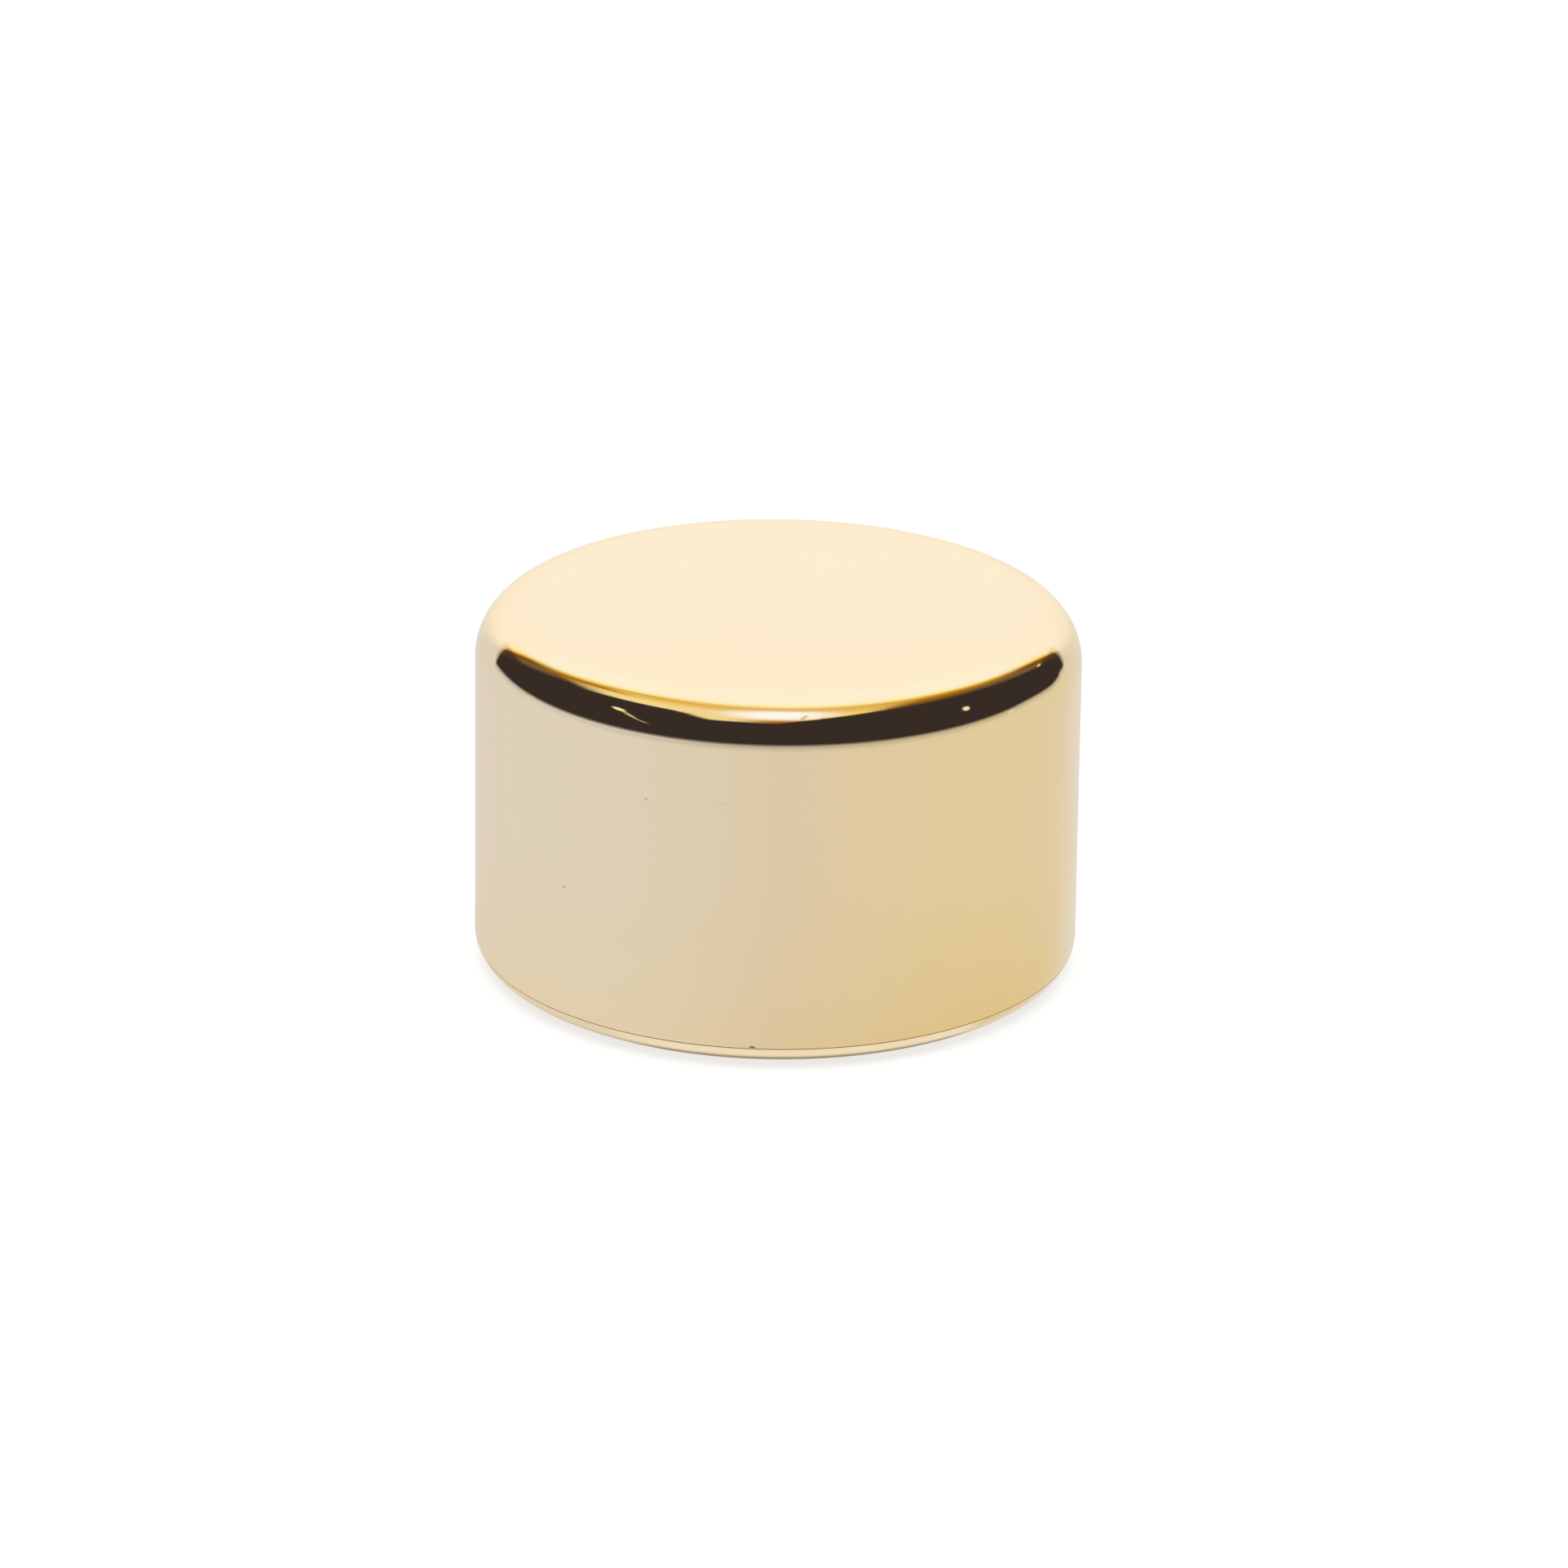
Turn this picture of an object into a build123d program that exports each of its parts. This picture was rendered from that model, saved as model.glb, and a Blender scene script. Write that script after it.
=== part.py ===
"""Cosmetic cream jar: a full-height polished cap screwed over a double-walled jar.

Millimetres. The origin is the centre of the base on the table and +Z is up.
The jar stands on its foot ring with the cap screwed down.
"""

from build123d import *
from math import pi, sqrt
import os

# ---- Driving dimensions ----------------------------------------------------------------
BASE_RADIUS = 32.0  # where the line of the wall meets the table
TOTAL_HEIGHT = 39.1  # table to the top of the cap
WALL_LEAN = 0.24  # how far the cap's wall leans in between base and top
TOP_EDGE_RADIUS = 5.7  # rounded upper edge of the cap
BASE_EDGE_RADIUS = 2.8  # rounded lower edge, shared by the cap and the base plate
SHELL_WALL = 0.8  # drawn aluminium

FOOT_STANDOFF = 0.25  # the foot ring holds the base plate this far off the table
RIM_TOP = 2.3  # top face of the base plate's visible rim
SEAM_GAP = 0.04  # hairline between that rim and the cap
LIP_EDGE = 0.06  # softened edges on both sides of that hairline
FIT_GAP = 0.05  # between pieces that are pressed or glued together
REST_GAP = 0.02  # between pieces that rest on each other and come apart

PAD_THICKNESS = 0.5
CAP_WEIGHT_THICKNESS = 1.6
INSERT_PLATE = 1.2
LINER_THICKNESS = 1.2
DISC_FLANGE = 0.6

# ---- Levels of the lower edge, then of the cap and its seals from the top down ---------
EDGE_TOP = FOOT_STANDOFF + BASE_EDGE_RADIUS
SHELL_BOTTOM = RIM_TOP + SEAM_GAP
SHELL_CEILING = TOTAL_HEIGHT - SHELL_WALL
PAD_BOTTOM = SHELL_CEILING - PAD_THICKNESS
CAP_WEIGHT_BOTTOM = PAD_BOTTOM - CAP_WEIGHT_THICKNESS
INSERT_CEILING = CAP_WEIGHT_BOTTOM - INSERT_PLATE
LINER_TOP = INSERT_CEILING - REST_GAP
LINER_BOTTOM = LINER_TOP - LINER_THICKNESS
DISC_TOP = LINER_BOTTOM - REST_GAP
DISC_SEAT = DISC_TOP - DISC_FLANGE
NECK_TOP = DISC_SEAT - REST_GAP

# ---- Neck and four-start screw thread --------------------------------------------------
MOUTH_RADIUS = 21.6
NECK_RADIUS = 23.5
THREAD_STARTS = 4
THREAD_LEAD = 16.0  # rise of the cap in one whole turn
THREAD_DEPTH = 1.0
THREAD_ROOT_WIDTH = 1.6
THREAD_CREST_WIDTH = 0.8
THREAD_EMBED = 0.3  # how deep a ridge is rooted in its wall
THREAD_TIP_GAP = 0.25  # between a ridge's crest and the wall it faces
THREAD_FLANK_GAP = 0.12  # between the flanks that pull the cap down
NECK_THREAD_DROP = 6.5  # from the neck's top down to the lower end of its ridges
NECK_THREAD_SWEEP = 100  # degrees covered by one ridge of the neck
CAP_THREAD_SWEEP = 80  # degrees covered by one ridge of the cap
SKIRT_BORE = NECK_RADIUS + THREAD_DEPTH + THREAD_TIP_GAP
SKIRT_WALL = 1.3
FLANK_TAPER = (THREAD_ROOT_WIDTH - THREAD_CREST_WIDTH) / (2 * (THREAD_DEPTH + THREAD_EMBED))
FLANK_CONTACT = THREAD_ROOT_WIDTH - FLANK_TAPER * (SKIRT_BORE - NECK_RADIUS + 2 * THREAD_EMBED)
NECK_THREAD_LEVEL = NECK_TOP - NECK_THREAD_DROP
CAP_THREAD_LEVEL = NECK_THREAD_LEVEL - FLANK_CONTACT - THREAD_FLANK_GAP

# ---- Double-walled jar -----------------------------------------------------------------
BODY_RADIUS = 29.6  # outside of the jar's wall under the cap
BODY_WALL = 1.6
BODY_LEAN = 0.1
BODY_BORE = BODY_RADIUS - BODY_WALL
BODY_TOP_RADIUS = BODY_RADIUS - BODY_LEAN
SHOULDER_TOP = 21.0

HANGER_FLANGE = 1.0  # the inner cup hangs on this flange
HANGER_WIDTH = 4.0
CUP_WALL = 1.3
CUP_FLOOR = 1.4
CAVITY_LEAN = 0.3  # the cavity narrows by this much towards its floor
CAVITY_CORNER = 5.0
CUP_RADIUS = MOUTH_RADIUS + CUP_WALL

COLLAR_WALL = 0.6
COLLAR_PLATE = 0.9
COLLAR_SKIRT = 4.0
COLLAR_BOTTOM = SHOULDER_TOP - COLLAR_SKIRT
COLLAR_PLATE_BOTTOM = SHOULDER_TOP + HANGER_FLANGE + FIT_GAP
COLLAR_TOP = COLLAR_PLATE_BOTTOM + COLLAR_PLATE

# ---- Base ------------------------------------------------------------------------------
BASE_FLOOR_TOP = 1.6
BASE_WEIGHT_THICKNESS = 1.9
BASE_WEIGHT_RADIUS = 25.0
BASE_WEIGHT_HOLE = 5.0
CUP_BOTTOM = BASE_FLOOR_TOP + BASE_WEIGHT_THICKNESS + FIT_GAP
CUP_FLOOR_TOP = CUP_BOTTOM + CUP_FLOOR
PLUG_RADIUS = BODY_BORE - FIT_GAP
PLUG_WALL = 1.2
PLUG_TOP = 6.0
SNAP_LEVEL = 4.2  # middle of the snap bead that holds the base plate
SNAP_DEPTH = 0.25
SNAP_ROOT_HEIGHT = 1.2
SNAP_TIP_HEIGHT = 0.4
FOOT_INNER = 24.0
FOOT_OUTER = 28.4
FOOT_THICKNESS = 0.85


def cap_radius(level):
    """Outside radius of the cap's leaning wall at a height above the table."""
    return BASE_RADIUS - WALL_LEAN * level / TOTAL_HEIGHT


def edge_radius(level):
    """Outside radius of the rounded lower edge at a height above the table."""
    drop = EDGE_TOP - level
    return cap_radius(EDGE_TOP) - BASE_EDGE_RADIUS + sqrt(BASE_EDGE_RADIUS**2 - drop**2)


def edge_arc(low_level, high_level):
    """The part of that rounded edge between two heights, drawn in the XZ plane."""
    levels = (low_level, (low_level + high_level) / 2, high_level)
    return ThreePointArc(*[(edge_radius(level), level) for level in levels])


def outline(points):
    """A closed outline of (radius, height) points, ready to be revolved about Z."""
    with BuildSketch(Plane.XZ, mode=Mode.PRIVATE) as profile:
        with BuildLine():
            Polyline(*points, close=True)
        make_face()
    return profile.sketch


def snap_bead(wall_radius, depth):
    """Points of a bead on a round wall, from its lower edge up, depth proud of the wall."""
    return [
        (wall_radius, SNAP_LEVEL - SNAP_ROOT_HEIGHT / 2),
        (wall_radius + depth, SNAP_LEVEL - SNAP_TIP_HEIGHT / 2),
        (wall_radius + depth, SNAP_LEVEL + SNAP_TIP_HEIGHT / 2),
        (wall_radius, SNAP_LEVEL + SNAP_ROOT_HEIGHT / 2),
    ]


def thread_ridge(wall_radius, side, start_level, sweep_angle):
    """One helical ridge on a round wall, pointing outward (side 1) or inward (side -1)."""
    rise = THREAD_LEAD * sweep_angle / 360
    uphill = Vector(0, 2 * pi * wall_radius, THREAD_LEAD)
    section_plane = Plane((wall_radius, 0, start_level), x_dir=(1, 0, 0), z_dir=uphill)
    with BuildPart(mode=Mode.PRIVATE) as ridge:
        with BuildLine(Plane.XY.offset(start_level)):
            Helix(pitch=THREAD_LEAD, height=rise, radius=wall_radius)
        with BuildSketch(section_plane):
            with BuildLine():
                Polyline(
                    (-side * THREAD_EMBED, -THREAD_ROOT_WIDTH / 2),
                    (side * THREAD_DEPTH, -THREAD_CREST_WIDTH / 2),
                    (side * THREAD_DEPTH, THREAD_CREST_WIDTH / 2),
                    (-side * THREAD_EMBED, THREAD_ROOT_WIDTH / 2),
                    close=True,
                )
            make_face()
        sweep(is_frenet=True)
    return ridge.part


# ---- Cap -------------------------------------------------------------------------------
# Overshell: one drawn cup with a leaning wall, a generously rounded upper edge and the
# start of the rounded lower edge.
with BuildPart() as outer_shell:
    with BuildSketch(Plane.XZ):
        with BuildLine():
            edge_arc(SHELL_BOTTOM, EDGE_TOP)
            Polyline(
                (edge_radius(EDGE_TOP), EDGE_TOP),
                (cap_radius(TOTAL_HEIGHT), TOTAL_HEIGHT),
                (0, TOTAL_HEIGHT),
                (0, SHELL_BOTTOM),
                (edge_radius(SHELL_BOTTOM), SHELL_BOTTOM),
            )
        make_face()
    revolve(axis=Axis.Z)
    fillet(outer_shell.edges().group_by(Axis.Z)[-1], TOP_EDGE_RADIUS)
    offset(amount=-SHELL_WALL, openings=outer_shell.faces().sort_by(Axis.Z)[0])
    fillet(outer_shell.edges().group_by(Axis.Z)[0], LIP_EDGE)

# Foam washer that keeps the weight from rattling against the overshell.
CAP_WEIGHT_RADIUS = 24.0
CAP_WEIGHT_HOLE = 4.0
with BuildPart() as weight_pad:
    with BuildSketch(Plane.XY.offset(PAD_BOTTOM)):
        Circle(CAP_WEIGHT_RADIUS - 1)
        Circle(CAP_WEIGHT_HOLE + 1, mode=Mode.SUBTRACT)
    extrude(amount=PAD_THICKNESS)

# Steel washer that gives the cap its heft.
WEIGHT_EDGE = 0.2
with BuildPart() as cap_weight:
    with BuildSketch(Plane.XY.offset(CAP_WEIGHT_BOTTOM)):
        Circle(CAP_WEIGHT_RADIUS)
        Circle(CAP_WEIGHT_HOLE, mode=Mode.SUBTRACT)
    extrude(amount=CAP_WEIGHT_THICKNESS)
    chamfer(cap_weight.edges().group_by(Axis.Z)[-1], WEIGHT_EDGE)

# Threaded insert: plate, lining skirt glued into the overshell, nest for the weight,
# threaded skirt around the neck and a bead that keeps the liner in.
LINING_BOTTOM = EDGE_TOP + 0.4  # clear of the shell's rounded lower edge
LINING_WALL = 1.0
LINING_INSET = SHELL_WALL + FIT_GAP
LINING_SHOULDER = TOTAL_HEIGHT - TOP_EDGE_RADIUS - 0.3  # just below the shell's curve
LINING_SHOULDER_STEP = 1.5  # clears the inside of that curve
LINING_TOP_RADIUS = cap_radius(LINING_SHOULDER) - LINING_INSET
LINING_BOTTOM_RADIUS = cap_radius(LINING_BOTTOM) - LINING_INSET
NEST_RADIUS = CAP_WEIGHT_RADIUS + FIT_GAP
NEST_WALL = 1.0
NEST_HEIGHT = 1.2
SKIRT_BOTTOM = COLLAR_TOP + 0.45
BEAD_DEPTH = 0.65
BEAD_HEIGHT = 1.0
BEAD_TOP = LINER_BOTTOM - REST_GAP
with BuildPart() as threaded_insert:
    revolve(
        outline(
            [
                (0, INSERT_CEILING),
                (LINING_TOP_RADIUS - LINING_WALL, INSERT_CEILING),
                (LINING_BOTTOM_RADIUS - LINING_WALL, LINING_BOTTOM),
                (LINING_BOTTOM_RADIUS, LINING_BOTTOM),
                (LINING_TOP_RADIUS, LINING_SHOULDER),
                (LINING_TOP_RADIUS - LINING_SHOULDER_STEP, CAP_WEIGHT_BOTTOM),
                (0, CAP_WEIGHT_BOTTOM),
            ]
        ),
        axis=Axis.Z,
    )
    with BuildSketch(Plane.XY.offset(CAP_WEIGHT_BOTTOM)):
        Circle(NEST_RADIUS + NEST_WALL)
        Circle(NEST_RADIUS, mode=Mode.SUBTRACT)
    extrude(amount=NEST_HEIGHT)
    with BuildSketch(Plane.XY.offset(SKIRT_BOTTOM)):
        Circle(SKIRT_BORE + SKIRT_WALL)
        Circle(SKIRT_BORE, mode=Mode.SUBTRACT)
    extrude(amount=INSERT_CEILING - SKIRT_BOTTOM)
    revolve(
        outline(
            [
                (SKIRT_BORE + THREAD_EMBED, BEAD_TOP - BEAD_HEIGHT),
                (SKIRT_BORE, BEAD_TOP - BEAD_HEIGHT),
                (SKIRT_BORE - BEAD_DEPTH, BEAD_TOP - 0.4 * BEAD_HEIGHT),
                (SKIRT_BORE - BEAD_DEPTH, BEAD_TOP - 0.2 * BEAD_HEIGHT),
                (SKIRT_BORE, BEAD_TOP),
                (SKIRT_BORE + THREAD_EMBED, BEAD_TOP),
            ]
        ),
        axis=Axis.Z,
    )
    with PolarLocations(0, THREAD_STARTS):
        add(thread_ridge(SKIRT_BORE, -1, CAP_THREAD_LEVEL, CAP_THREAD_SWEEP))

# Liner: loose foam wad that seals on the neck and stays above the insert's bead.
LINER_PLAY = 0.3
with BuildPart() as seal_liner:
    with BuildSketch(Plane.XY.offset(LINER_BOTTOM)):
        Circle(SKIRT_BORE - LINER_PLAY)
    extrude(amount=LINER_THICKNESS)

# ---- Sealing disc ----------------------------------------------------------------------
# Dished disc that drops into the mouth, with a flat ring to pull it out by.
DISH_RADIUS = MOUTH_RADIUS - 0.15
DISH_WALL = 0.75
DISH_DEPTH = 2.4
DISH_FLOOR_TOP = DISC_SEAT - DISH_DEPTH + DISH_WALL
DISC_RADIUS = NECK_RADIUS + 0.1
DISC_EDGE = 0.2
TAB_THICKNESS = 0.7
TAB_LENGTH = 15.0
TAB_WIDTH = 10.0
TAB_BAND = 2.0
TAB_SETBACK = 4.0  # the ring's middle lies this far in front of the jar's axis
TAB_LEVEL = DISC_TOP - TAB_THICKNESS - 0.4
with BuildPart() as sealing_disc:
    revolve(
        outline(
            [
                (0, DISC_SEAT - DISH_DEPTH),
                (DISH_RADIUS, DISC_SEAT - DISH_DEPTH),
                (DISH_RADIUS, DISC_SEAT),
                (DISC_RADIUS, DISC_SEAT),
                (DISC_RADIUS, DISC_TOP),
                (DISH_RADIUS - DISH_WALL, DISC_TOP),
                (DISH_RADIUS - DISH_WALL, DISH_FLOOR_TOP),
                (0, DISH_FLOOR_TOP),
            ]
        ),
        axis=Axis.Z,
    )
    fillet(sealing_disc.edges().group_by(Axis.Z)[-1], DISC_EDGE)
    with BuildSketch(Plane.XY.offset(TAB_LEVEL)):
        with Locations((0, -TAB_SETBACK)):
            SlotOverall(TAB_LENGTH, TAB_WIDTH, rotation=90)
            SlotOverall(
                TAB_LENGTH - 2 * TAB_BAND,
                TAB_WIDTH - 2 * TAB_BAND,
                rotation=90,
                mode=Mode.SUBTRACT,
            )
    extrude(amount=TAB_THICKNESS)
    with BuildSketch(Plane.XY.offset(DISH_FLOOR_TOP)):
        with Locations((0, (TAB_LENGTH - TAB_BAND) / 2 - TAB_SETBACK)):
            Rectangle(TAB_WIDTH / 2, TAB_BAND)
    extrude(amount=TAB_LEVEL + TAB_THICKNESS / 2 - DISH_FLOOR_TOP)

# ---- Jar -------------------------------------------------------------------------------
# Inner cup: holds the cream, hangs on its flange and carries the threaded neck.
HANGER_RADIUS = NECK_RADIUS + HANGER_WIDTH
MOUTH_EDGE = 0.5
with BuildPart() as inner_cup:
    revolve(
        outline(
            [
                (0, CUP_BOTTOM),
                (CUP_RADIUS, CUP_BOTTOM),
                (CUP_RADIUS, SHOULDER_TOP + FIT_GAP),
                (HANGER_RADIUS, SHOULDER_TOP + FIT_GAP),
                (HANGER_RADIUS, SHOULDER_TOP + HANGER_FLANGE),
                (NECK_RADIUS, SHOULDER_TOP + HANGER_FLANGE),
                (NECK_RADIUS, NECK_TOP),
                (MOUTH_RADIUS, NECK_TOP),
                (MOUTH_RADIUS - CAVITY_LEAN, CUP_FLOOR_TOP),
                (0, CUP_FLOOR_TOP),
            ]
        ),
        axis=Axis.Z,
    )
    fillet(inner_cup.edges().group_by(Axis.Z)[0], CAVITY_CORNER + CUP_FLOOR)
    cavity_floor_edge = inner_cup.edges().filter_by_position(
        Axis.Z, CUP_FLOOR_TOP - REST_GAP, CUP_FLOOR_TOP + REST_GAP
    )
    fillet(cavity_floor_edge, CAVITY_CORNER)
    fillet(inner_cup.edges().group_by(Axis.Z)[-1], MOUTH_EDGE)
    with PolarLocations(0, THREAD_STARTS):
        add(thread_ridge(NECK_RADIUS, 1, NECK_THREAD_LEVEL, NECK_THREAD_SWEEP))

# Outer body: the jar's visible wall once the cap is off, stepped in for the collar.
COLLAR_SEAT = BODY_TOP_RADIUS - COLLAR_WALL - FIT_GAP
SHOULDER_HOLE = CUP_RADIUS + 0.4
with BuildPart() as outer_body:
    revolve(
        outline(
            [
                (BODY_BORE, RIM_TOP + REST_GAP),
                (BODY_RADIUS, RIM_TOP + REST_GAP),
                (BODY_TOP_RADIUS, COLLAR_BOTTOM),
                (COLLAR_SEAT, COLLAR_BOTTOM),
                (COLLAR_SEAT, SHOULDER_TOP),
                (SHOULDER_HOLE, SHOULDER_TOP),
                (SHOULDER_HOLE, SHOULDER_TOP - BODY_WALL),
                (BODY_BORE, SHOULDER_TOP - BODY_WALL),
            ]
        ),
        axis=Axis.Z,
    )
    revolve(
        outline(snap_bead(BODY_BORE, SNAP_DEPTH + FIT_GAP)),
        axis=Axis.Z,
        mode=Mode.SUBTRACT,
    )

# Collar: polished ring that covers the joint between the outer body and the cup.
COLLAR_HOLE = NECK_RADIUS + 0.2
COLLAR_OUTER_EDGE = 0.8
COLLAR_INNER_EDGE = 0.3
with BuildPart() as shoulder_collar:
    revolve(
        outline(
            [
                (BODY_TOP_RADIUS - COLLAR_WALL, COLLAR_BOTTOM + FIT_GAP),
                (BODY_TOP_RADIUS, COLLAR_BOTTOM + FIT_GAP),
                (BODY_TOP_RADIUS, COLLAR_TOP),
                (COLLAR_HOLE, COLLAR_TOP),
                (COLLAR_HOLE, COLLAR_PLATE_BOTTOM),
                (BODY_TOP_RADIUS - COLLAR_WALL, COLLAR_PLATE_BOTTOM),
            ]
        ),
        axis=Axis.Z,
    )
    outer_edge = shoulder_collar.edges().group_by(Axis.Z)[-1].sort_by(SortBy.RADIUS)[-1]
    fillet(outer_edge, COLLAR_OUTER_EDGE)
    inner_edge = shoulder_collar.edges().group_by(Axis.Z)[-1].sort_by(SortBy.RADIUS)[0]
    fillet(inner_edge, COLLAR_INNER_EDGE)

# Base weight: steel washer under the cup.
with BuildPart() as base_weight:
    with BuildSketch(Plane.XY.offset(BASE_FLOOR_TOP)):
        Circle(BASE_WEIGHT_RADIUS)
        Circle(BASE_WEIGHT_HOLE, mode=Mode.SUBTRACT)
    extrude(amount=BASE_WEIGHT_THICKNESS)
    chamfer(base_weight.edges().group_by(Axis.Z)[-1], WEIGHT_EDGE)

# Base plate: visible rim that carries the rounded lower edge down to the underside, plug
# with a snap bead, groove for the foot.
FOOT_GROOVE_TOP = FOOT_THICKNESS + FIT_GAP
with BuildPart() as base_plate:
    with BuildSketch(Plane.XZ):
        with BuildLine():
            edge_arc(FOOT_STANDOFF, RIM_TOP)
            Polyline(
                (edge_radius(FOOT_STANDOFF), FOOT_STANDOFF),
                (FOOT_OUTER, FOOT_STANDOFF),
                (FOOT_OUTER, FOOT_GROOVE_TOP),
                (FOOT_INNER, FOOT_GROOVE_TOP),
                (FOOT_INNER, FOOT_STANDOFF),
                (0, FOOT_STANDOFF),
                (0, BASE_FLOOR_TOP),
                (PLUG_RADIUS - PLUG_WALL, BASE_FLOOR_TOP),
                (PLUG_RADIUS - PLUG_WALL, PLUG_TOP),
                (PLUG_RADIUS, PLUG_TOP),
                *reversed(snap_bead(PLUG_RADIUS, SNAP_DEPTH)),
                (PLUG_RADIUS, RIM_TOP),
                (edge_radius(RIM_TOP), RIM_TOP),
            )
        make_face()
    revolve(axis=Axis.Z)
    rim_edges = base_plate.edges().filter_by_position(Axis.Z, RIM_TOP - REST_GAP, RIM_TOP + REST_GAP)
    fillet(rim_edges.sort_by(SortBy.RADIUS)[-1], LIP_EDGE)

# Foot ring: soft non-slip ring that the jar stands on.
FOOT_EDGE = 0.2
with BuildPart() as foot_ring:
    with BuildSketch(Plane.XY):
        Circle(FOOT_OUTER - FIT_GAP)
        Circle(FOOT_INNER + FIT_GAP, mode=Mode.SUBTRACT)
    extrude(amount=FOOT_THICKNESS)
    fillet(foot_ring.edges().group_by(Axis.Z)[0], FOOT_EDGE)

# ---- Export ----------------------------------------------------------------------------
PIECES = {
    "outer_shell": outer_shell,
    "weight_pad": weight_pad,
    "cap_weight": cap_weight,
    "threaded_insert": threaded_insert,
    "seal_liner": seal_liner,
    "sealing_disc": sealing_disc,
    "inner_cup": inner_cup,
    "outer_body": outer_body,
    "shoulder_collar": shoulder_collar,
    "base_weight": base_weight,
    "base_plate": base_plate,
    "foot_ring": foot_ring,
}
os.makedirs("parts", exist_ok=True)
for piece_name, piece in PIECES.items():
    piece.part.label = piece_name
    export_step(piece.part, f"parts/{piece_name}.step")
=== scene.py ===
"""Looks, light and camera for the cosmetic cream jar. Metres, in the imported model's frame.

The jar is polished metal, so most of its look is what it mirrors. The light tent is written
as a world seen by direction; the plastics and the floor are lit by the same tent, softened.
"""

import math

import bpy
from mathutils import Matrix, Vector


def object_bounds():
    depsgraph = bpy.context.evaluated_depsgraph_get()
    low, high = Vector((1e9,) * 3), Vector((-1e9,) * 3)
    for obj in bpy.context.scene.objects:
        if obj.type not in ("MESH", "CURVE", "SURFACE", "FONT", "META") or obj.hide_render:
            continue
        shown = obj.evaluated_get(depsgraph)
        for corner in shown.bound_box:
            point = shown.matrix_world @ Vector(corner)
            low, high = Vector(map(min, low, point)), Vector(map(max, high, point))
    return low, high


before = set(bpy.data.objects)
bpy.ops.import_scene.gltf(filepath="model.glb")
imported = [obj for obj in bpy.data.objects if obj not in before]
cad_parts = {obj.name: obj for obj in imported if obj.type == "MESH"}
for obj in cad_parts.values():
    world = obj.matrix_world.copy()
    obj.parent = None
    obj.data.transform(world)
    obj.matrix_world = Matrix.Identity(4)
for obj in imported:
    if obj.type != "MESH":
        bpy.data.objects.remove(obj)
cad_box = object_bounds()

MM = 0.001
CAMERA_ELEVATION = math.radians(21.4)
VIEW = (0, math.cos(CAMERA_ELEVATION), -math.sin(CAMERA_ELEVATION))  # where the camera looks


# ---- Small tools for building shader graphs ---------------------------------------------
class Amount:
    """A number inside a shader graph: arithmetic on it adds the matching nodes."""

    def __init__(self, graph, socket):
        self.graph = graph
        self.socket = socket

    def __add__(self, other):
        return self.graph.math("ADD", self, other)

    def __sub__(self, other):
        return self.graph.math("SUBTRACT", self, other)

    def __mul__(self, other):
        return self.graph.math("MULTIPLY", self, other)

    def __truediv__(self, other):
        return self.graph.math("DIVIDE", self, other)

    def __rsub__(self, other):
        return self.graph.math("SUBTRACT", other, self)

    def __abs__(self):
        return self.graph.math("ABSOLUTE", self)


class Graph:
    """A node tree with short ways to add and join nodes."""

    def __init__(self, tree):
        self.tree = tree
        tree.nodes.clear()

    def node(self, kind, **settings):
        made = self.tree.nodes.new(kind)
        for name, value in settings.items():
            setattr(made, name, value)
        return made

    def feed(self, socket, value):
        """Joins an output to a socket, or sets the socket to a plain value."""
        if isinstance(value, Amount):
            value = value.socket
        if isinstance(value, bpy.types.NodeSocket):
            self.tree.links.new(value, socket)
        elif socket.type == "RGBA":
            socket.default_value = (*value, 1)
        else:
            socket.default_value = value

    def math(self, operation, *values):
        made = self.node("ShaderNodeMath", operation=operation)
        for socket, value in zip(made.inputs, values):
            self.feed(socket, value)
        return Amount(self, made.outputs[0])

    def root(self, value):
        return self.math("SQRT", value)

    def degrees(self, value):
        return self.math("DEGREES", value)

    def larger(self, value, floor):
        return self.math("MAXIMUM", value, floor)

    def axes(self, vector):
        split = self.node("ShaderNodeSeparateXYZ")
        self.feed(split.inputs[0], vector)
        return [Amount(self, output) for output in split.outputs]

    def ease(self, value, low, high):
        """Smooth step from 0 at low to 1 at high; low may be the larger one."""
        made = self.node("ShaderNodeMapRange", interpolation_type="SMOOTHSTEP")
        for socket, part in zip(made.inputs, (value, low, high)):
            self.feed(socket, part)
        return Amount(self, made.outputs[0])

    def mix(self, factor, first, second, blend="MIX"):
        made = self.node("ShaderNodeMix", data_type="RGBA", blend_type=blend)
        self.feed(made.inputs["Factor"], factor)
        self.feed(made.inputs[6], first)
        self.feed(made.inputs[7], second)
        return made.outputs[2]

    def ramp(self, value, stops):
        """Colours at given values, blended evenly in between; stops are (value, colour)."""
        first, last = stops[0][0], stops[-1][0]
        made = self.node("ShaderNodeValToRGB")
        band = made.color_ramp
        while len(band.elements) < len(stops):
            band.elements.new(0.5)
        for element, (place, colour) in zip(band.elements, stops):
            element.position = (place - first) / (last - first)
            element.color = (*colour, 1)
        self.feed(made.inputs[0], (value - first) / (last - first))
        return made.outputs[0]

    def ellipse(self, point, centre, size, core, turn=0.0):
        """Mask of a soft ellipse: 1 inside its core (a share of size), 0 outside."""
        cosine, sine = math.cos(math.radians(turn)), math.sin(math.radians(turn))
        across, along = point[0] - centre[0], point[1] - centre[1]
        one = (across * cosine + along * sine) / size[0]
        two = (along * cosine - across * sine) / size[1]
        return self.ease(self.root(one * one + two * two), 1.0, core)


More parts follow.
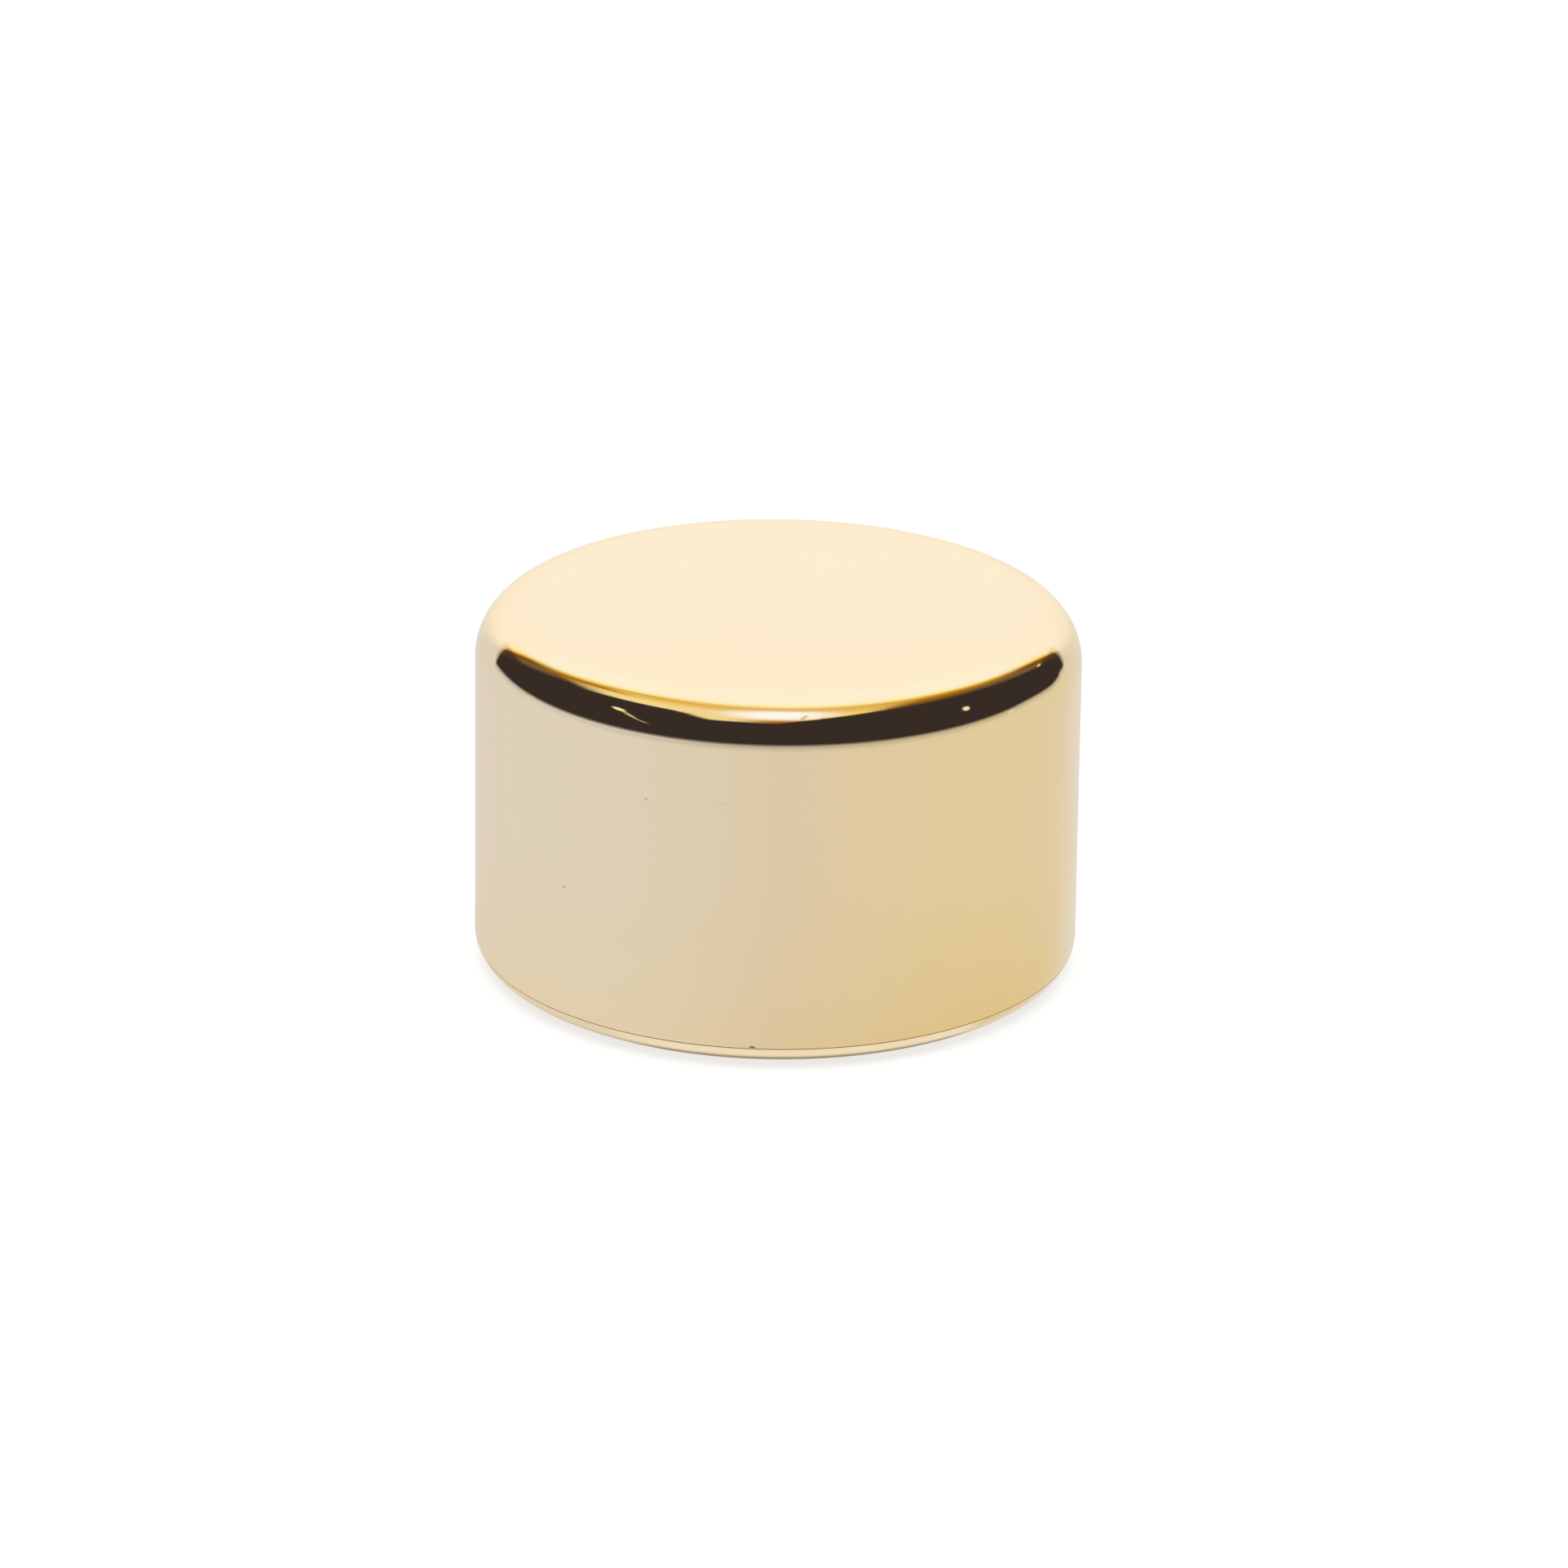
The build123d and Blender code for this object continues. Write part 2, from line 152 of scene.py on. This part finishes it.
# ---- Light tent, as the polished metal sees it ------------------------------------------
# Front is -Y, the side that the camera stands on. Values are linear light. The tent is a
# function of direction alone, so its shapes are placed by slope (rise), by heading (right
# and ahead) and on a ceiling one unit up (across to the right, along to the front).
BACKDROP = (1.07, 1.10, 1.16)
ROOM_DARK = (0.040, 0.032, 0.034)
FLOOR_GLOW = (0.93, 0.905, 0.87)
FLOOR_SHADE = (0.34, 0.31, 0.28)
FLOOR_BEHIND = (1.0, 0.965, 0.93)  # tint of the floor behind the jar
FLOOR_BEHIND_RIGHT = (0.81, 0.775, 0.72)
STRIPLIGHT = (1.06, 1.19, 1.60)
STRIPLIGHT_END = (0.86, 0.60, 0.18)  # where it meets the sheet
STRIPLIGHT_LIP = (0.38, 0.15, 0.01)  # its front edge
TAN_STRIP = (0.88, 0.67, 0.27)
FLOOR_HEM = (0.82, 0.84, 0.93)  # bright line along the floor's far left edge
FLOOR_DOT = (1.0, 0.97, 0.85)
SOFT_ROOM = (1.0, 0.985, 0.96)  # what matt surfaces get from the whole tent
SOFT_ROOM_STRENGTH = 0.8

# Edge of the pale sheet, as a curve on the ceiling.
SHEET_MIDDLE = 0.08
SHEET_ROUNDING = 0.16
SHEET_BEND = 1.30
SHEET_SLANT = 0.10
SHEET_REACH = 0.35

# Slope at which the floor ends and the dark room begins.
HORIZON_LEVEL = 0.172
HORIZON_CLIMB = 0.158  # higher to the front
HORIZON_DIP = 0.07  # lower at the back on the right

FAR_FLOOR = [  # from the left of the jar to its right
    (-1.0, (0.785, 0.815, 0.905)),
    (0.0, (0.770, 0.745, 0.742)),
    (1.0, (0.818, 0.760, 0.625)),
]
NEAR_FLOOR = [
    (-1.0, (0.815, 0.790, 0.780)),
    (0.0, (0.775, 0.720, 0.640)),
    (1.0, (0.790, 0.700, 0.470)),
]
BACKDROP_RISE = [  # a little warmer low down
    (-0.200, (0.96, 0.900, 0.800)),
    (0.050, (1.00, 0.950, 0.870)),
    (0.200, (1.04, 1.000, 0.940)),
    (0.340, (1.05, 1.040, 1.070)),
    (0.375, (1.06, 1.040, 1.045)),
    (0.900, (1.07, 1.100, 1.150)),
]
# From inside the pale ceiling sheet, over its amber hem, out to the dark room.
HEM_OVERHEAD = [
    (-0.26, BACKDROP),
    (-0.16, (1.07, 1.10, 1.10)),
    (-0.08, (1.07, 1.08, 0.85)),
    (-0.02, (1.06, 0.98, 0.55)),
    (0.04, (0.93, 0.74, 0.26)),
    (0.10, (0.70, 0.45, 0.07)),
    (0.17, (0.49, 0.25, 0.02)),
    (0.32, (0.28, 0.12, 0.02)),
    (0.40, (0.15, 0.08, 0.03)),
    (0.50, ROOM_DARK),
]
HEM_AT_THE_SIDES = [
    (-0.50, (1.06, 1.04, 1.00)),
    (-0.29, (1.06, 1.03, 0.80)),
    (-0.20, (1.06, 0.97, 0.58)),
    (-0.12, (1.00, 0.81, 0.34)),
    (-0.05, (0.70, 0.45, 0.12)),
    (0.02, (0.34, 0.16, 0.02)),
    (0.09, (0.20, 0.08, 0.01)),
    (0.26, (0.23, 0.13, 0.05)),
    (0.36, (0.17, 0.12, 0.07)),
    (0.55, ROOM_DARK),
]
HEM_FAR_OUT = [
    (-0.50, (0.99, 0.91, 0.72)),
    (-0.32, (0.97, 0.84, 0.50)),
    (-0.24, (0.93, 0.76, 0.40)),
    (-0.16, (0.75, 0.58, 0.25)),
    (-0.08, (0.42, 0.28, 0.09)),
    (0.00, (0.16, 0.08, 0.02)),
    (0.10, (0.09, 0.05, 0.03)),
    (0.60, ROOM_DARK),
]
SIDE_PANEL = [  # by distance past the sheet
    (0.20, (0.80, 0.55, 0.12)),
    (0.36, (1.00, 0.82, 0.34)),
    (0.56, (1.00, 0.92, 0.60)),
]
STRIPLIGHT_SIDES = [  # from left to right
    (-0.3, (0.96, 0.84, 0.52)),
    (0.1, (1.0, 0.86, 0.60)),
    (0.3, (0.99, 0.78, 0.30)),
]
LAMP_SPOTS = [  # centre on the ceiling, size, turn in degrees, core, strength, colour
    ((0.11, 0.25), (0.16, 0.014), 90, 0.3, 0.7, (0.60, 0.38, 0.10)),
    ((-1.05, 0.27), (0.11, 0.075), -62, 0.6, 1.0, (1.04, 1.00, 0.68)),
    ((-1.14, 0.50), (0.33, 0.05), -66, 0.1, 0.8, (0.95, 0.82, 0.50)),
    ((-1.24, 0.79), (0.19, 0.05), -78, 0.1, 0.5, (0.90, 0.80, 0.60)),
    ((1.45, 0.14), (0.22, 0.05), 22, 0.5, 1.0, (1.03, 1.00, 0.80)),
    ((1.61, -1.49), (0.16, 0.08), -45, 0.2, 1.0, (0.95, 0.78, 0.52)),
]


class Sight:
    """A direction of view, split into the parts that the tent is described by."""

    def __init__(self, g):
        towards = g.node("ShaderNodeTexCoord").outputs["Generated"]
        x, y, up = g.axes(towards)
        front = 0.0 - y
        level = g.root(g.larger(1.0 - up * up, 0.000001))
        self.rise = up / level
        self.right = x / level
        self.ahead = front / level
        # Where the view meets a ceiling one unit above the jar.
        height = g.larger(up, 0.02)
        self.ceiling = (x / height, front / height)
        across, along = self.ceiling
        off_middle = across - SHEET_MIDDLE
        bend = g.root(off_middle * off_middle + SHEET_ROUNDING)
        # Distance past the edge of the pale sheet that hangs over the back of the set.
        self.past_sheet = along + bend * SHEET_BEND + across * SHEET_SLANT - SHEET_REACH
        # Which way the metal faces where the camera sees this direction mirrored in it.
        facing = g.node("ShaderNodeVectorMath", operation="SUBTRACT")
        g.feed(facing.inputs[0], towards)
        facing.inputs[1].default_value = VIEW
        unit = g.node("ShaderNodeVectorMath", operation="NORMALIZE")
        g.feed(unit.inputs[0], facing.outputs[0])
        side, back, tilt = g.axes(unit.outputs[0])
        self.droop = g.degrees(g.math("ARCSINE", 0.0 - tilt))
        self.turn = g.degrees(g.math("ARCTAN2", side, 0.0 - back))
        # From 0 where the metal is seen edge-on to 2 where it squarely faces the camera.
        length = g.node("ShaderNodeVectorMath", operation="LENGTH")
        g.feed(length.inputs[0], facing.outputs[0])
        self.squareness = Amount(g, length.outputs["Value"])


def floor_light(g, sight):
    """Tent floor: cool on the left, warm on the right and close by."""
    far = g.ramp(sight.right, FAR_FLOOR)
    near = g.ramp(sight.right, NEAR_FLOOR)
    floor = g.mix(g.ease(sight.rise, -0.395, -0.435), far, near)
    behind = g.ease(sight.ahead, -0.55, -0.95)
    floor = g.mix(behind, floor, FLOOR_BEHIND, blend="MULTIPLY")
    floor = g.mix(behind * g.ease(sight.right, 0.0, 0.4), floor, FLOOR_BEHIND_RIGHT)
    return floor_close_by(g, sight, floor)


def floor_close_by(g, sight, floor):
    """What the rounded lower edge mirrors: a glow right beside the jar, and dark under it."""
    droop, turn = sight.droop, sight.turn
    facing_us = g.ease(sight.squareness, 0.1, 0.4)
    in_front = g.ease(turn, -38, -22) * g.ease(turn, 45, 38) * facing_us
    floor = g.mix(g.ease(droop, 17, 23) * in_front, floor, FLOOR_GLOW)
    under = g.ease(droop, 34, 50) * between(in_front, 0.3, 1.0) * facing_us
    return g.mix(under, floor, FLOOR_SHADE)


def sheet_light(g, sight):
    """Pale ceiling sheet with its amber hem, falling off to the dark room in front."""
    backdrop = g.ramp(sight.rise, BACKDROP_RISE)
    overhead = g.ramp(sight.past_sheet, HEM_OVERHEAD)
    sides = g.ramp(sight.past_sheet, HEM_AT_THE_SIDES)
    far_out = g.ramp(sight.past_sheet, HEM_FAR_OUT)
    reach = abs(sight.ceiling[0])
    hem = g.mix(g.ease(reach, 0.6, 1.2), overhead, sides)
    hem = g.mix(g.ease(reach, 1.45, 1.8), hem, far_out)
    seen = g.mix(g.ease(sight.past_sheet, -0.60, -0.40), backdrop, hem)
    return backdrop, seen


def striplight(g, sight, seen):
    """Short strip light in front of the sheet, with a second pale panel on its left."""
    across, along = sight.ceiling
    left_end = g.ease(across - along * 0.22, -0.51, -0.41)
    right_end = g.ease(across + along * 0.60, 0.48, 0.40) * g.ease(across, 0.52, 0.30)
    front_end = g.ease(along + g.larger(across * 1.1, across * -0.25), 0.555, 0.475)
    back_end = g.ease(sight.past_sheet, 0.09, 0.17)
    middle = g.ellipse(sight.ceiling, (0.01, 0.15), (0.31, 0.27), core=0.26)
    lip = g.ease(along, 0.30, 0.46) * g.ease(across, -0.30, 0.0)
    colour = g.ramp(across, STRIPLIGHT_SIDES)
    colour = g.mix(g.ease(sight.past_sheet, 0.42, 0.16), colour, STRIPLIGHT_END)
    colour = g.mix(middle, colour, STRIPLIGHT)
    colour = g.mix(lip, colour, STRIPLIGHT_LIP)
    seen = g.mix(left_end * right_end * front_end * back_end, seen, colour)

    side_panel = g.ease(along - across * 1.05, 0.66, 0.56) * g.ease(across, -0.95, -0.62)
    side_panel = side_panel * g.ease(across, -0.34, -0.44) * g.ease(sight.past_sheet, 0.20, 0.36)
    seen = g.mix(side_panel, seen, g.ramp(sight.past_sheet, SIDE_PANEL))

    tan_strip = g.ease(abs(sight.past_sheet - 0.06), 0.10, 0.0) * g.ease(abs(across), 0.36, 0.24)
    return g.mix(tan_strip, seen, TAN_STRIP)


def lamp_spots(g, sight, seen):
    """Small lamps and a hanging thread in the dark room."""
    for centre, size, turn, core, strength, colour in LAMP_SPOTS:
        spot = g.ellipse(sight.ceiling, centre, size, core, turn)
        seen = g.mix(spot * strength, seen, colour)
    return seen


def floor_edge_light(g, sight, horizon, seen):
    """Thin bright hem along the far left edge of the floor, and a pale dot on its right."""
    hem = g.ease(abs(sight.rise - horizon + 0.085), 0.035, 0.0) * g.ease(sight.right, -0.3, -0.8)
    hem = hem * g.ease(sight.ahead, -0.45, -0.15) * 0.8
    seen = g.mix(hem, seen, FLOOR_HEM)
    dot = g.ellipse((sight.ahead, sight.rise), (-0.105, 0.075), (0.056, 0.038), core=0.2)
    return g.mix(dot * g.ease(sight.right, 0.0, 0.5) * 0.6, seen, FLOOR_DOT)


def studio_colour(g):
    """Everything the metal mirrors, put together by direction."""
    sight = Sight(g)
    backdrop, seen = sheet_light(g, sight)
    seen = striplight(g, sight, seen)
    seen = lamp_spots(g, sight, seen)
    # Low down, the dark room ends at the sides of the set and the backdrop begins.
    in_room = g.ease(sight.ahead + sight.rise * 0.30 + sight.right * 0.03, -0.733, -0.667)
    low = g.mix(in_room, backdrop, seen)
    above = g.mix(g.ease(sight.rise, 0.36, 0.26), seen, low)

    right_back = g.ease(sight.ahead, -0.2, -0.7) * g.ease(sight.ahead, -0.70, -0.52)
    right_back = right_back * g.ease(sight.right, 0.0, 0.5)
    horizon = sight.ahead * HORIZON_CLIMB - right_back * HORIZON_DIP + HORIZON_LEVEL
    softness = sight.ahead * 0.03 + 0.046
    above_horizon = (sight.rise - horizon) / softness
    haze = g.ease(above_horizon, -4.2, 1.0) * 0.5
    over_room = g.larger(g.ease(above_horizon, -2.0, 0.6), haze)
    over_back = g.ease(sight.rise - (sight.ahead * 2.2 + 1.93), -0.14, 0.16)
    over = over_back * (1.0 - in_room) + over_room * in_room
    seen = g.mix(over, floor_light(g, sight), above)
    return floor_edge_light(g, sight, horizon, seen)


def background(g, colour, strength=1.0):
    made = g.node("ShaderNodeBackground")
    g.feed(made.inputs["Color"], colour)
    made.inputs["Strength"].default_value = strength
    return made.outputs[0]


def studio_world():
    """Mirrors see the tent; matt surfaces get its even light; the camera sees plain white."""
    world = bpy.data.worlds.new("studio")
    bpy.context.scene.world = world
    world.use_nodes = True
    g = Graph(world.node_tree)
    tent = background(g, studio_colour(g))
    even = background(g, SOFT_ROOM, SOFT_ROOM_STRENGTH)
    white = background(g, (1.0, 1.0, 1.0))
    path = g.node("ShaderNodeLightPath")
    seen = tent
    for ray, other in (("Is Diffuse Ray", even), ("Is Camera Ray", white)):
        switch = g.node("ShaderNodeMixShader")
        g.feed(switch.inputs[0], path.outputs[ray])
        g.feed(switch.inputs[1], seen)
        g.feed(switch.inputs[2], other)
        seen = switch.outputs[0]
    g.feed(g.node("ShaderNodeOutputWorld").inputs[0], seen)


# ---- Floor and softbox ------------------------------------------------------------------
FLOOR_HALF = 3.0
FLOOR_GREY = (0.30, 0.30, 0.30)
FLOOR_LIGHT = 0.68  # the floor glows by itself, so that almost no shadow is left
SOFTBOX_HEIGHT = 1.1
SOFTBOX_SIZE = 1.6
SOFTBOX_POWER = 16  # watts


def add_floor():
    mesh = bpy.data.meshes.new("floor")
    signs = [(-1, -1), (1, -1), (1, 1), (-1, 1)]
    mesh.from_pydata([(x * FLOOR_HALF, y * FLOOR_HALF, 0) for x, y in signs], [], [(0, 1, 2, 3)])
    floor = bpy.data.objects.new("floor", mesh)
    bpy.context.scene.collection.objects.link(floor)
    material, g, surface = new_material("floor")
    g.feed(surface.inputs["Base Color"], FLOOR_GREY)
    g.feed(surface.inputs["Emission Color"], (1.0, 1.0, 1.0))
    surface.inputs["Emission Strength"].default_value = FLOOR_LIGHT
    surface.inputs["Roughness"].default_value = 1
    surface.inputs["Specular IOR Level"].default_value = 0
    mesh.materials.append(material)
    floor.visible_glossy = False  # the metal mirrors the tent's floor instead


def add_softbox():
    data = bpy.data.lights.new("softbox", "AREA")
    data.shape = "DISK"
    data.size = SOFTBOX_SIZE
    data.energy = SOFTBOX_POWER
    light = bpy.data.objects.new("softbox", data)
    light.location = (0, 0, SOFTBOX_HEIGHT)
    bpy.context.scene.collection.objects.link(light)
    light.visible_glossy = False


# ---- Camera -----------------------------------------------------------------------------
CAMERA_DISTANCE = 0.64
CAMERA_ROLL = math.radians(0.75)
CAMERA_LENS = 139.1  # millimetres, on a sensor 36 mm wide
AIM_RIGHT = 0.75 * MM  # the lens points this far right of the jar's middle
AIM_DOWN = 0.68 * MM


def add_camera():
    low, high = cad_box
    centre = (low + high) / 2
    back = -Vector(VIEW)
    right = Vector((1, 0, 0))
    up = back.cross(right)
    place = centre + back * CAMERA_DISTANCE
    aim = centre + right * AIM_RIGHT - up * AIM_DOWN
    data = bpy.data.cameras.new("camera")
    data.lens = CAMERA_LENS
    data.sensor_width = 36
    camera = bpy.data.objects.new("camera", data)
    bpy.context.scene.collection.objects.link(camera)
    turn = (aim - place).to_track_quat("-Z", "Y").to_matrix().to_4x4()
    camera.matrix_world = Matrix.Translation(place) @ turn @ Matrix.Rotation(CAMERA_ROLL, 4, "Z")
    bpy.context.scene.camera = camera


# ---- Materials --------------------------------------------------------------------------
CHAMPAGNE_GOLD = (0.93, 0.78, 0.52)
MARK_COLOUR = (0.10, 0.08, 0.05)
SHELL_MARKS = [  # degrees from the front and level in mm, size in both, core, darkness
    ((-24.4, 28.4), (0.40, 0.22), 0.0, 0.48),
    ((-42.8, 16.4), (0.40, 0.30), 0.0, 0.55),
    ((-9.5, 28.9), (1.60, 0.20), 0.0, 0.10),
    ((-3.9, 2.52), (0.75, 0.17), 0.4, 0.90),
]


def new_material(name):
    material = bpy.data.materials.new(name)
    material.use_nodes = True
    g = Graph(material.node_tree)
    surface = g.node("ShaderNodeBsdfPrincipled")
    g.feed(g.node("ShaderNodeOutputMaterial").inputs[0], surface.outputs[0])
    return material, g, surface


def place_mm(g):
    """Place on the piece in millimetres, as a vector."""
    scaled = g.node("ShaderNodeVectorMath", operation="SCALE")
    g.feed(scaled.inputs[0], g.node("ShaderNodeTexCoord").outputs["Object"])
    scaled.inputs["Scale"].default_value = 1000
    return scaled.outputs[0]


def noise(g, place, size_mm, detail=2.0):
    """Cloudy noise around 0.5 with features about size_mm across."""
    made = g.node("ShaderNodeTexNoise")
    g.feed(made.inputs["Vector"], place)
    made.inputs["Scale"].default_value = 1 / size_mm
    made.inputs["Detail"].default_value = detail
    return Amount(g, made.outputs[0])


def cells(g, place, size_mm):
    """Distance from the middle of the nearest foam cell, in cell sizes."""
    made = g.node("ShaderNodeTexVoronoi")
    g.feed(made.inputs["Vector"], place)
    made.inputs["Scale"].default_value = 1 / size_mm
    return Amount(g, made.outputs["Distance"])


def relief(g, surface, height, depth_mm):
    """Fine surface relief; height is 0 to 1."""
    bump = g.node("ShaderNodeBump")
    bump.inputs["Distance"].default_value = depth_mm * MM
    g.feed(bump.inputs["Height"], height)
    g.feed(surface.inputs["Normal"], bump.outputs[0])


def between(value, low, high):
    """Spreads a 0 to 1 amount over low to high."""
    return value * (high - low) + low


def shell_marks(g, place, colour):
    """Dust specks and a faint smear on the polished wall, and a nick at its lower edge."""
    x, y, z = g.axes(place)
    turn = g.degrees(g.math("ARCTAN2", x, 0.0 - y))
    wall = g.ease(g.root(x * x + y * y), 30.0, 31.0)
    for centre, size, core, darkness in SHELL_MARKS:
        mask = g.ellipse((turn, z), centre, size, core)
        colour = g.mix(mask * wall * darkness, colour, MARK_COLOUR)
    return colour


def polished_gold(name, marked):
    """Mirror-bright anodised aluminium with barely visible waves of the drawing process."""
    material, g, surface = new_material(name)
    surface.inputs["Metallic"].default_value = 1
    place = place_mm(g)
    colour = g.mix(noise(g, place, 14.0), CHAMPAGNE_GOLD, (0.92, 0.775, 0.525))
    if marked:
        colour = shell_marks(g, place, colour)
    g.feed(surface.inputs["Base Color"], colour)
    g.feed(surface.inputs["Roughness"], between(noise(g, place, 6.0), 0.02, 0.05))
    relief(g, surface, noise(g, place, 9.0, detail=1.0), 0.002)
    return material


def spun_gold(name):
    """Anodised aluminium turned on a lathe: fine rings follow the radius and the height."""
    material, g, surface = new_material(name)
    surface.inputs["Metallic"].default_value = 1
    x, y, z = g.axes(place_mm(g))
    radius = g.root(x * x + y * y)
    ring = g.node("ShaderNodeCombineXYZ")
    g.feed(ring.inputs[0], radius)
    g.feed(ring.inputs[1], z)
    rings = noise(g, ring.outputs[0], 0.5, detail=1.0)
    g.feed(surface.inputs["Base Color"], g.mix(rings, (0.90, 0.74, 0.47), (0.95, 0.80, 0.55)))
    g.feed(surface.inputs["Roughness"], between(rings, 0.12, 0.24))
    relief(g, surface, rings, 0.004)
    return material


def zinc_plated_steel(name):
    material, g, surface = new_material(name)
    surface.inputs["Metallic"].default_value = 1
    place = place_mm(g)
    spangle = noise(g, place, 2.5, detail=4.0)
    g.feed(surface.inputs["Base Color"], g.mix(spangle, (0.52, 0.54, 0.58), (0.74, 0.75, 0.77)))
    g.feed(surface.inputs["Roughness"], between(spangle, 0.24, 0.42))
    relief(g, surface, noise(g, place, 0.4), 0.004)
    return material


def moulded_plastic(name, colour, shade, roughness, grain_mm, grain_depth_mm, gloss_coat=0.0):
    """Injection-moulded plastic: slight tone clouds, fine grain, optional glossy top layer."""
    material, g, surface = new_material(name)
    place = place_mm(g)
    clouds = noise(g, place, 8.0)
    g.feed(surface.inputs["Base Color"], g.mix(clouds, colour, shade))
    g.feed(surface.inputs["Roughness"], between(clouds, roughness * 0.9, roughness * 1.1))
    surface.inputs["Coat Weight"].default_value = gloss_coat
    surface.inputs["Coat Roughness"].default_value = 0.08
    surface.inputs["Subsurface Weight"].default_value = 0.15
    surface.inputs["Subsurface Scale"].default_value = 1 * MM
    relief(g, surface, noise(g, place, grain_mm), grain_depth_mm)
    return material


def closed_cell_foam(name, colour, shade, cell_mm):
    material, g, surface = new_material(name)
    cell = cells(g, place_mm(g), cell_mm)
    g.feed(surface.inputs["Base Color"], g.mix(cell, colour, shade))
    surface.inputs["Roughness"].default_value = 0.85
    relief(g, surface, cell, 0.06)
    return material


def silicone_rubber(name):
    material, g, surface = new_material(name)
    place = place_mm(g)
    clouds = noise(g, place, 3.0, detail=4.0)
    g.feed(surface.inputs["Base Color"], g.mix(clouds, (0.030, 0.030, 0.032), (0.055, 0.053, 0.052)))
    g.feed(surface.inputs["Roughness"], between(clouds, 0.55, 0.75))
    relief(g, surface, noise(g, place, 0.25), 0.01)
    return material


def paint(material, *nodes):
    """Puts one material on every face of some CAD nodes."""
    for node in nodes:
        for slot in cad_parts[node].material_slots:
            slot.material = material


paint(polished_gold("polished_gold", marked=True), "outer_shell")
paint(polished_gold("rim_gold", marked=False), "base_plate")
paint(spun_gold("spun_gold"), "shoulder_collar")
paint(zinc_plated_steel("zinc_plated_steel"), "cap_weight", "base_weight")
paint(
    moulded_plastic("natural_pp", (0.80, 0.79, 0.74), (0.76, 0.75, 0.70), 0.42, 0.5, 0.006),
    "threaded_insert",
)
paint(
    moulded_plastic("white_pp", (0.86, 0.855, 0.84), (0.83, 0.825, 0.81), 0.26, 0.8, 0.003),
    "inner_cup",
)
paint(
    moulded_plastic("frosted_pp", (0.80, 0.81, 0.81), (0.74, 0.76, 0.77), 0.5, 0.3, 0.008),
    "sealing_disc",
)
paint(
    moulded_plastic("pearl_ivory", (0.85, 0.79, 0.68), (0.80, 0.73, 0.61), 0.3, 1.2, 0.002, gloss_coat=0.8),
    "outer_body",
)
paint(closed_cell_foam("white_foam", (0.82, 0.81, 0.78), (0.66, 0.65, 0.62), 0.5), "seal_liner")
paint(closed_cell_foam("dark_foam", (0.045, 0.045, 0.047), (0.09, 0.09, 0.09), 0.6), "weight_pad")
paint(silicone_rubber("silicone_rubber"), "foot_ring")

studio_world()
add_camera()
add_floor()
add_softbox()
bpy.context.scene.view_settings.view_transform = "Standard"
